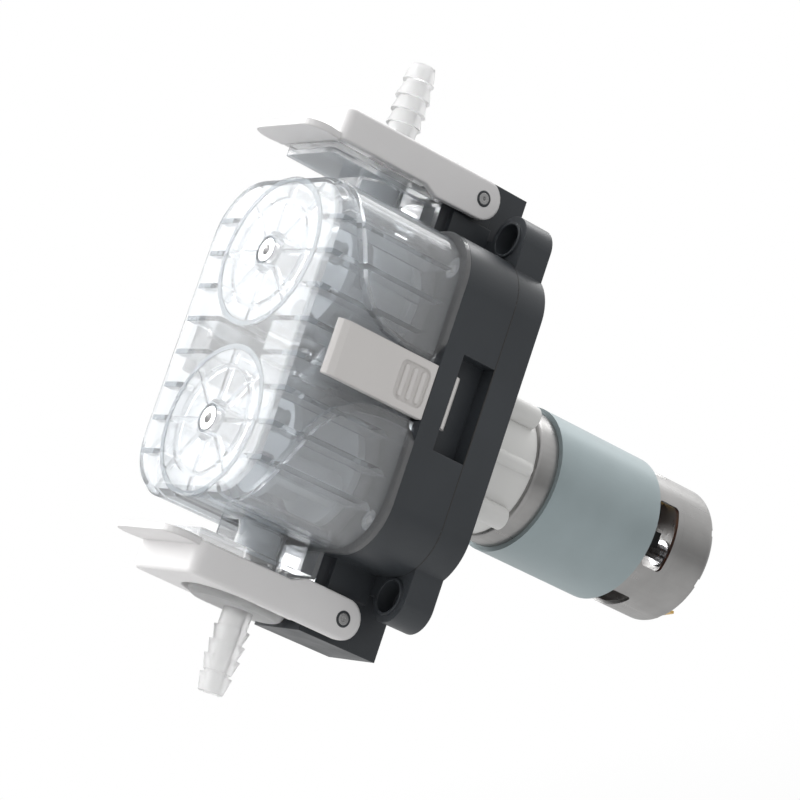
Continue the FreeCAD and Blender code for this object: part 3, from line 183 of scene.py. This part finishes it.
def turned_steel(name, colour, rough, stretch=(1, 1, 1), scale=900.0):
    """Satin or turned steel: fine lines along the tool's path and mild staining."""
    material, tree, shader, coords = new_material(name)
    shader.inputs["Metallic"].default_value = 1.0
    lines = noise(tree, coords, scale, 3.0, stretch)
    stain = noise(tree, coords, 70.0, 5.0)
    factor = remap(tree, stain.outputs["Fac"], 0.0, 1.0)
    tone = mix_colours(tree, factor, shade(colour, 0.86), shade(colour, 1.08))
    tree.links.new(tone, shader.inputs["Base Color"])
    tree.links.new(remap(tree, lines.outputs["Fac"], rough - 0.07, rough + 0.09),
                   shader.inputs["Roughness"])
    add_bump(tree, shader, lines.outputs["Fac"], 0.000012, edge=0.0002)
    return material


def printed_sleeve(name, colour):
    """Blue-grey film over a rolled sleeve: matt, with faint rolling lines and scuffs."""
    material, tree, shader, coords = new_material(name)
    scuff = noise(tree, coords, 55.0, 7.0)
    factor = remap(tree, scuff.outputs["Fac"], 0.0, 1.0)
    tree.links.new(mix_colours(tree, factor, shade(colour, 0.93), shade(colour, 1.06)),
                   shader.inputs["Base Color"])
    tree.links.new(remap(tree, scuff.outputs["Fac"], 0.36, 0.5), shader.inputs["Roughness"])
    shader.inputs["Metallic"].default_value = 0.25
    lines = noise(tree, coords, 1200.0, 2.0, (1, 0.05, 1))
    add_bump(tree, shader, lines.outputs["Fac"], 0.000015)
    return material


def translucent_plastic(name, colour, rough, transmission, scatter=0.15):
    """Milky moulding that lets some light through."""
    material, tree, shader, coords = new_material(name)
    cloud = noise(tree, coords, 110.0, 4.0)
    factor = remap(tree, cloud.outputs["Fac"], 0.0, 1.0)
    tree.links.new(mix_colours(tree, factor, shade(colour, 0.95), colour),
                   shader.inputs["Base Color"])
    tree.links.new(remap(tree, cloud.outputs["Fac"], rough, rough + 0.1),
                   shader.inputs["Roughness"])
    shader.inputs["Transmission Weight"].default_value = transmission
    shader.inputs["IOR"].default_value = 1.25
    shader.inputs["Subsurface Weight"].default_value = scatter
    shader.inputs["Subsurface Radius"].default_value = (0.004, 0.004, 0.004)
    grain = noise(tree, coords, 900.0, 2.0)
    add_bump(tree, shader, grain.outputs["Fac"], 0.000015)
    return material


MATERIALS = {
    "base_plastic": moulded_plastic("slate plastic", (0.036, 0.041, 0.047), 0.42, spread=0.10),
    "lever_plastic": moulded_plastic("lever plastic", (0.76, 0.75, 0.75), 0.40, spread=0.02, edge=0.0009),
    "latch_plastic": moulded_plastic("latch plastic", (0.69, 0.67, 0.655), 0.40, spread=0.02, edge=0.0006),
    "clear_cover": clear_plastic("clear cover", (0.97, 0.985, 1.0), 0.05),
    "clear_plate": clear_plastic("clear plate", (0.99, 0.995, 1.0), 0.05, clearness=0.80),
    "connector_plastic": translucent_plastic("milky plastic", (0.995, 0.995, 0.995), 0.3, 0.75, 0.5),
    "gearbox_nylon": moulded_plastic("gearbox nylon", (0.76, 0.76, 0.745), 0.45, spread=0.03),
    "motor_steel": turned_steel("plated steel", (0.38, 0.375, 0.37), 0.34, (1, 0.04, 1)),
    "flux_band": printed_sleeve("sleeve film", (0.34, 0.405, 0.42)),
    "shaft_steel": turned_steel("ground steel", (0.60, 0.60, 0.61), 0.22, (1, 9, 1)),
    "screw_steel": turned_steel("screw steel", (0.78, 0.78, 0.78), 0.18, (1, 6, 1)),
    "pin_steel": turned_steel("pin steel", (0.50, 0.50, 0.50), 0.25, (6, 1, 1)),
    "terminal_brass": turned_steel("brass", (0.72, 0.48, 0.17), 0.26, (1, 0.1, 1)),
    "winding_copper": turned_steel("enamelled copper", (0.70, 0.27, 0.11), 0.30, (1, 1, 6), 1800.0),
    "magnet": moulded_plastic("sintered magnet", (0.05, 0.05, 0.055), 0.6),
    "carbon": moulded_plastic("carbon", (0.03, 0.03, 0.03), 0.55),
    "tube_rubber": translucent_plastic("silicone tube", (0.82, 0.86, 0.89), 0.3, 0.2),
    "rotor_plastic": moulded_plastic("rotor plastic", (0.72, 0.76, 0.79), 0.3, spread=0.03),
    "roller_plastic": moulded_plastic("roller plastic", (0.84, 0.87, 0.89), 0.25, spread=0.03),
    "gear_plastic": moulded_plastic("acetal", (0.70, 0.69, 0.64), 0.35, spread=0.03),
}


# Painted shade: translucent blue-grey for pieces that stand in for the grey lines where the clear cover's
# ribs and walls are seen edge-on.
PAINTED_EDGE_SHADE = translucent_plastic("painted edge shade", (0.50, 0.55, 0.59), 0.2, 0.5)


# ---- CAD nodes: finish and softened edges ----------------------------------
NODE_SLOTS = {part["node"]: part["material_slot"] for part in frame["record"]["subparts"]}


SHARP_DEGREES = 35


def soften(node, width):
    """Round the moulded or stamped edges of a CAD node by a small bevel."""
    bevel = node.modifiers.new("edge", "BEVEL")
    bevel.width = width
    bevel.segments = 2
    bevel.limit_method = "ANGLE"
    bevel.angle_limit = math.radians(SHARP_DEGREES)


def smooth_by_angle(obj, degrees=SHARP_DEGREES):
    """Smooth shading, with edges sharper than the given angle kept crisp."""
    for polygon in obj.data.polygons:
        polygon.use_smooth = True
    obj.data.set_sharp_from_angle(angle=math.radians(degrees))


EDGE_WIDTHS = {
    "base_plastic": 0.45 * MM, "lever_plastic": 0.5 * MM, "latch_plastic": 0.35 * MM,
    "motor_steel": 0.2 * MM, "flux_band": 0.15 * MM,
    "gearbox_nylon": 0.25 * MM, "screw_steel": 0.12 * MM, "pin_steel": 0.12 * MM,
    "terminal_brass": 0.08 * MM, "rotor_plastic": 0.2 * MM, "roller_plastic": 0.2 * MM,
}

for node_name, node in frame["nodes"].items():
    slot = NODE_SLOTS[node_name]
    node.data.materials.clear()
    node.data.materials.append(MATERIALS[slot])
    smooth_by_angle(node)
    if slot in EDGE_WIDTHS:
        soften(node, EDGE_WIDTHS[slot])


# ---- added pieces ----------------------------------------------------------
def add_piece(name, slot, body, shape, smooth_degrees=SHARP_DEGREES, material=None):
    """Object from a finished bmesh, riding a body, with its slot's or a given material."""
    mesh = bpy.data.meshes.new(name)
    bmesh.ops.recalc_face_normals(shape, faces=shape.faces)
    shape.to_mesh(mesh)
    shape.free()
    piece = bpy.data.objects.new(name, mesh)
    bpy.context.scene.collection.objects.link(piece)
    mesh.materials.append(material or MATERIALS[slot])
    smooth_by_angle(piece, smooth_degrees)
    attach(piece, body)


def revolve(shape, profile, centre, axis, across, up, steps=48):
    """Closed ring of (radius, height) corners turned about an axis through a centre."""
    rows = []
    for k in range(steps):
        angle = 2 * math.pi * k / steps
        out = across * math.cos(angle) + up * math.sin(angle)
        rows.append([shape.verts.new(centre + out * radius + axis * height)
                     for radius, height in profile])
    count = len(profile)
    for k in range(steps):
        row, following = rows[k], rows[(k + 1) % steps]
        for j in range(count):
            shape.faces.new((row[j], row[(j + 1) % count],
                             following[(j + 1) % count], following[j]))


def sweep_loop(shape, path, radius, sides=6):
    """Closed wire of round section along a closed list of points."""
    count = len(path)
    rings = []
    for k in range(count):
        point = path[k]
        along = (path[(k + 1) % count] - path[k - 1]).normalized()
        helper = Vector((0, 0, 1)) if abs(along.z) < 0.8 else Vector((1, 0, 0))
        first = along.cross(helper).normalized()
        second = along.cross(first)
        ring = []
        for j in range(sides):
            angle = 2 * math.pi * j / sides
            ring.append(shape.verts.new(point + (first * math.cos(angle)
                                                 + second * math.sin(angle)) * radius))
        rings.append(ring)
    for k in range(count):
        ring, following = rings[k], rings[(k + 1) % count]
        shift = best_shift(ring, following)
        for j in range(sides):
            a, b = (j + shift) % sides, (j + 1 + shift) % sides
            shape.faces.new((ring[j], ring[(j + 1) % sides], following[b], following[a]))


def best_shift(ring, following):
    """How far to turn the next ring so that it meets this one without a twist."""
    sides = len(ring)
    return min(range(sides), key=lambda shift: (ring[0].co - following[shift].co).length)


def lever_pin_rings():
    """Dark ring, slightly sunk, around each end of each lever's pin: painted shade for the countersunk gap
    round the pin.
    """
    bore, rim, sunk, proud, flat_r = 1.72 * MM, 2.35 * MM, -0.2 * MM, 0.12 * MM, 2.2 * MM
    profile = [(bore, sunk), (rim, sunk), (rim, proud / 2), (flat_r, proud), (bore, proud)]
    for name, sz, body in (("upper", 1, "upper_lever_body"), ("lower", -1, "lower_lever_body")):
        low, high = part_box(name + "_lever")
        shape = bmesh.new()
        for sx, face in ((1, high[0]), (-1, low[0])):
            revolve(shape, profile, Vector((face, LEVER_PIN_Y, sz * LEVER_PIN_Z)),
                    Vector((sx, 0, 0)), Vector((0, 1, 0)), Vector((0, 0, 1)))
        # Painted shade: the dark slate plastic stands in for the shadow in the gap round the pin.
        add_piece(name + "_pin_rings", "base_plastic", body, shape)


def slanted_bar(shape, sx, x0, x1, z0, z1, front, rear, slant):
    """Bar along Y whose rear end is cut at a slant; sx mirrors it to the left."""
    corners = []
    for x in (x0, x1):
        for z, y in ((z0, front), (z1, front), (z1, rear), (z0, rear - slant)):
            corners.append(shape.verts.new((sx * x, y, z)))
    for face in ((0, 1, 2, 3), (4, 5, 6, 7), (0, 1, 5, 4), (1, 2, 6, 5), (2, 3, 7, 6),
                 (3, 0, 4, 7)):
        shape.faces.new([corners[k] for k in face])


def rib_shade_bars():
    """Blue-grey bars inside the front ends of the cover's level ribs: painted shade standing in for the
    grey of the clear ribs seen edge-on.
    """
    shape = bmesh.new()
    half, nearest_x = 0.70 * MM, 23.5 * MM
    front, rear, slant = -68.6 * MM, -65.2 * MM, 0.9 * MM
    for k in range(4):
        middle = RIB_PITCH * (k + 0.5)
        across = middle - ROTOR_Z
        inner = max(math.sqrt(CHAMBER_WALL_R ** 2 - across ** 2), nearest_x)
        for sz in (-1, 1):
            for sx in (-1, 1):
                slanted_bar(shape, sx, inner, COVER_INSIDE_X, sz * middle - half,
                            sz * middle + half, front, rear, slant)
    add_piece("rib_shade_bars", "clear_cover", "housing", shape, material=PAINTED_EDGE_SHADE)


def chamber_wall_shade():
    """Blue-grey rings at the edges of the two chamber walls behind the front plate: painted shade standing
    in for the clear walls seen edge-on.
    """
    shape = bmesh.new()
    inner, outer, front, depth = 20.7 * MM, 22.1 * MM, -68.7 * MM, 0.5 * MM
    profile = [(inner, 0.0), (outer, 0.0), (outer, depth), (inner, depth)]
    for sz in (-1, 1):
        revolve(shape, profile, Vector((0, front, sz * ROTOR_Z)), Vector((0, 1, 0)),
                Vector((1, 0, 0)), Vector((0, 0, 1)), steps=96)
    add_piece("chamber_wall_shade", "clear_cover", "housing", shape, material=PAINTED_EDGE_SHADE)


def parting_line_shade():
    """Dark strip along the joint between the two halves of the base, all round: the joint is real, its
    darkness is painted shade for the shadow in the groove.
    """
    outline = []
    steps = 12
    for k, (sx, sz) in enumerate(((1, 1), (-1, 1), (-1, -1), (1, -1))):
        centre_x = sx * (BASE_HALF_X - BASE_CORNER_R)
        centre_z = sz * (BASE_HALF_Z - BASE_CORNER_R)
        for j in range(steps + 1):
            angle = math.radians(90 * k + 90 * j / steps)
            outline.append((centre_x + BASE_CORNER_R * math.cos(angle),
                            centre_z + BASE_CORNER_R * math.sin(angle)))
    proud, depth, half_width = 0.03 * MM, 0.3 * MM, 0.2 * MM
    shape = bmesh.new()
    rows = []
    for x, z in outline:
        out = Vector((x, 0, z)).normalized()
        row = []
        for lift, y in ((-depth, -half_width), (proud, -half_width), (proud, half_width),
                        (-depth, half_width)):
            row.append(shape.verts.new((x + out.x * lift, BASE_PARTING_Y + y,
                                        z + out.z * lift)))
        rows.append(row)
    for k, row in enumerate(rows):
        following = rows[(k + 1) % len(rows)]
        for j in range(4):
            shape.faces.new((row[j], row[(j + 1) % 4], following[(j + 1) % 4], following[j]))
    # Painted shade: the dark carbon strip stands in for the shadow in the joint.
    add_piece("parting_line_shade", "carbon", "housing", shape)


def label_seam():
    """Slightly raised overlap of the rolled sleeve, low on the motor's left side."""
    low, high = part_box("flux_ring")
    centre_z = (low[2] + high[2]) / 2
    outer = (high[0] - low[0]) / 2
    shape = bmesh.new()
    rows = []
    steps, start_degrees, span_degrees, ramp = 10, -150, 14.0, 1.6
    step_height, end_margin, sunk, clear = 0.12 * MM, 0.3 * MM, 0.1 * MM, 0.01 * MM
    for k in range(steps + 1):
        angle = math.radians(start_degrees + span_degrees * k / steps)
        lift = step_height * math.sin(math.pi * min(1.0, ramp * k / steps) / 2)
        row = []
        for y in (low[1] + end_margin, high[1] - end_margin):
            for radius in (outer - sunk, outer + lift + clear):
                row.append(shape.verts.new((radius * math.cos(angle), y,
                                            centre_z + radius * math.sin(angle))))
        rows.append(row)
    for k in range(steps):
        a, b = rows[k], rows[k + 1]
        for first, second in ((0, 1), (1, 3), (3, 2), (2, 0)):
            shape.faces.new((a[first], a[second], b[second], b[first]))
    for row in (rows[0], rows[-1]):
        shape.faces.new((row[0], row[1], row[3], row[2]))
    add_piece("sleeve_seam", "flux_band", "housing", shape)


def winding_strands():
    """Wire turns laid over the ends of the armature's coils."""
    low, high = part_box("armature_windings")
    centre_z = (low[2] + high[2]) / 2
    reach = (high[0] - low[0]) / 2
    shape = bmesh.new()
    coils, turns, points, wire_r = 5, 7, 18, 0.28 * MM
    middle_r, half_height = 0.66, 0.24
    first_half, half_step = 14, 3.2
    first_end, end_step = 0.15, 0.2
    for coil in range(coils):
        middle = 2 * math.pi * coil / coils
        for turn in range(turns):
            half = math.radians(first_half + half_step * turn)
            end_y = high[1] + (first_end - end_step * turn) * MM
            path = []
            for k in range(points):
                around = 2 * math.pi * k / points
                angle = middle + half * math.cos(around)
                radius = reach * (middle_r + half_height * math.sin(around))
                path.append(Vector((radius * math.cos(angle), end_y,
                                    centre_z + radius * math.sin(angle))))
            sweep_loop(shape, path, wire_r)
    add_piece("winding_strands", "winding_copper", "armature", shape, smooth_degrees=60)


lever_pin_rings()
rib_shade_bars()
chamber_wall_shade()
parting_line_shade()
label_seam()
winding_strands()


# ---- surroundings ----------------------------------------------------------
SHADOW_DIRECTION = (0.5, 0.15, -0.85)
SHADOW_START = -0.4
SHADOW_END = 0.75
WORLD_DARK = 0.05
FLOOR_DROP = 0.16
FLOOR_HALF_SIZE = 4.0
LIGHT_TARGET = (0, -0.02, 0)
CAMERA_PLACE = (0.7789, -0.5420, -0.1960)
CAMERA_RIGHT = (0.58767, 0.74689, 0.31112)
CAMERA_BACK = (0.80894, -0.55011, -0.20738)


def make_floor():
    """Pale seamless floor well below the pump."""
    mesh = bpy.data.meshes.new("floor")
    shape = bmesh.new()
    bmesh.ops.create_grid(shape, x_segments=8, y_segments=8, size=FLOOR_HALF_SIZE)
    shape.to_mesh(mesh)
    shape.free()
    floor = bpy.data.objects.new("floor", mesh)
    floor.location = (0, 0, cad_low[2] - FLOOR_DROP)
    bpy.context.scene.collection.objects.link(floor)
    material, tree, shader, coords = new_material("floor paper")
    cloud = noise(tree, coords, 3.0, 3.0)
    factor = remap(tree, cloud.outputs["Fac"], 0.0, 1.0)
    tree.links.new(mix_colours(tree, factor, (0.53, 0.53, 0.53), (0.57, 0.57, 0.57)),
                   shader.inputs["Base Color"])
    shader.inputs["Roughness"].default_value = 0.8
    mesh.materials.append(material)


def make_world():
    """White studio that falls off below the pump and beside its right face."""
    world = bpy.data.worlds.new("studio")
    world.use_nodes = True
    tree = world.node_tree
    coords = tree.nodes.new("ShaderNodeTexCoord")
    along = tree.nodes.new("ShaderNodeVectorMath")
    along.operation = "DOT_PRODUCT"
    along.inputs[1].default_value = SHADOW_DIRECTION
    tree.links.new(coords.outputs["Generated"], along.inputs[0])
    strength = remap(tree, along.outputs["Value"], 1.0, WORLD_DARK,
                     SHADOW_START, SHADOW_END)
    background = tree.nodes["Background"]
    background.inputs["Color"].default_value = (1.0, 1.0, 1.0, 1.0)
    tree.links.new(strength, background.inputs["Strength"])
    bpy.context.scene.world = world


def softbox(name, direction, distance, size, power):
    """Square area light that looks at the pump from the given direction."""
    data = bpy.data.lights.new(name, "AREA")
    data.shape = "SQUARE"
    data.size = size
    data.energy = power
    lamp = bpy.data.objects.new(name, data)
    offset = Vector(direction).normalized() * distance
    lamp.location = Vector(LIGHT_TARGET) + offset
    lamp.rotation_mode = "QUATERNION"
    lamp.rotation_quaternion = (-offset).to_track_quat("-Z", "Y")
    bpy.context.scene.collection.objects.link(lamp)


def make_camera():
    """Seen from the front right and a little below, as a product shot."""
    data = bpy.data.cameras.new("camera")
    data.sensor_width = 36.0
    data.lens = 153.5
    camera = bpy.data.objects.new("camera", data)
    right = Vector(CAMERA_RIGHT).normalized()
    back = Vector(CAMERA_BACK).normalized()
    up = back.cross(right).normalized()
    right = up.cross(back)
    turn = Matrix((right, up, back)).transposed().to_4x4()
    camera.matrix_world = Matrix.Translation(CAMERA_PLACE) @ turn
    data.clip_start = 0.01
    data.clip_end = 20.0
    bpy.context.scene.collection.objects.link(camera)
    bpy.context.scene.camera = camera


make_floor()
make_world()
softbox("front key", (-0.75, -1.0, 0.45), 1.2, 0.9, 14.0)
softbox("low fill", (-0.3, -1.0, -0.35), 1.0, 0.5, 2.5)
softbox("top light", (-0.3, 0.35, 1.0), 1.0, 0.6, 4.0)
make_camera()
bpy.context.scene.view_settings.view_transform = "Standard"
